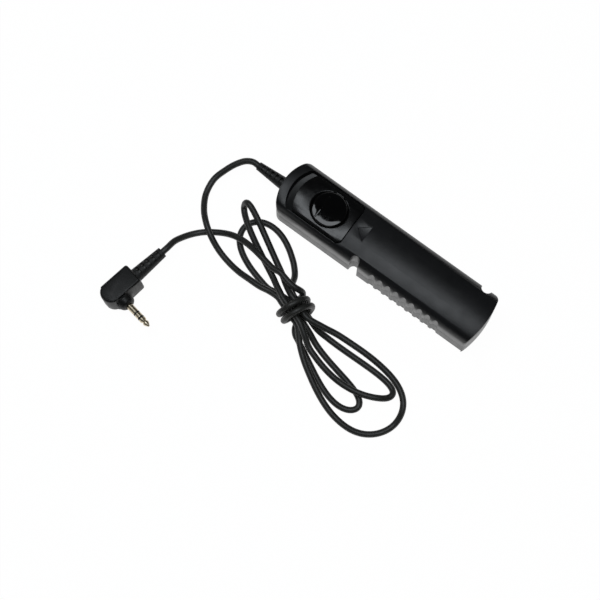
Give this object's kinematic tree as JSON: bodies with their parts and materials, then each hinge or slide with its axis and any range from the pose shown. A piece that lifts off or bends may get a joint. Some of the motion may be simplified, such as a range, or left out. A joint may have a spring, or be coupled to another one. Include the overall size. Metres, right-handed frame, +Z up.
{
  "type": "wired camera remote switch",
  "caption": "Hand-held wired remote switch for a camera, with a lockable two-stage button, a tied bundle of thin cord and a right-angle jack plug.",
  "frame": {"origin": "centre of the bottom of the grip, on the surface that it lies on; the cord, its strain relief and its plug are left out of that box", "axes": "+X along the grip from its cord end to its tail, +Y to the side of the small notch, +Z up, out of the button"},
  "size_m": [0.1196, 0.0849, 0.0171],
  "materials": {
    "case_black": "fine satin moulded texture",
    "gloss_black": "polished",
    "grommet_rubber": "semi-matte",
    "cord_jacket": "semi-matte",
    "plug_black": "fine satin",
    "inner_plastic": "plain moulded",
    "steel": "zinc plated",
    "contact_brass": "bright sheet",
    "jack_plating": "pale plated, turned",
    "jack_insulator": "smooth",
    "wire_white": "thin wire insulation",
    "wire_red": "thin wire insulation",
    "wire_yellow": "thin wire insulation"
  },
  "bodies": {
    "housing": {"upper_shell": "case_black", "lower_shell": "case_black", "case_screws": "steel", "cord_grommet": "grommet_rubber", "inner_cord": "cord_jacket", "wire_common": "wire_white", "wire_focus": "wire_red", "wire_release": "wire_yellow", "contact_base": "inner_plastic", "contact_spacers": "inner_plastic", "contact_screw": "steel", "common_contact": "contact_brass", "focus_contact": "contact_brass", "release_contact": "contact_brass", "plug_body": "plug_black", "plug_strain_relief": "grommet_rubber", "plug_cord": "cord_jacket", "jack_core": "jack_insulator", "jack_tip": "jack_plating", "jack_front_band": "jack_insulator", "jack_ring": "jack_plating", "jack_rear_band": "jack_insulator", "jack_sleeve": "jack_plating", "cord_lead": "cord_jacket", "cord_hank": "cord_jacket", "cord_tail": "cord_jacket"},
    "slider": {"lock_slider": "gloss_black"},
    "button": {"shutter_button": "gloss_black", "button_spring": "steel"}
  },
  "joints": [
    {"name": "lock_slide", "type": "slide", "parent": "housing", "child": "slider", "axis": [-1, 0, 0], "range_m": [0, 0.0027]},
    {"name": "button_press", "type": "slide", "parent": "slider", "child": "button", "axis": [0, 0, -1], "range_m": [0, 0.0015], "stiffness_N_per_m": 600, "springref_m": -0.001, "deforming": ["button_spring", "common_contact"]}
  ]
}
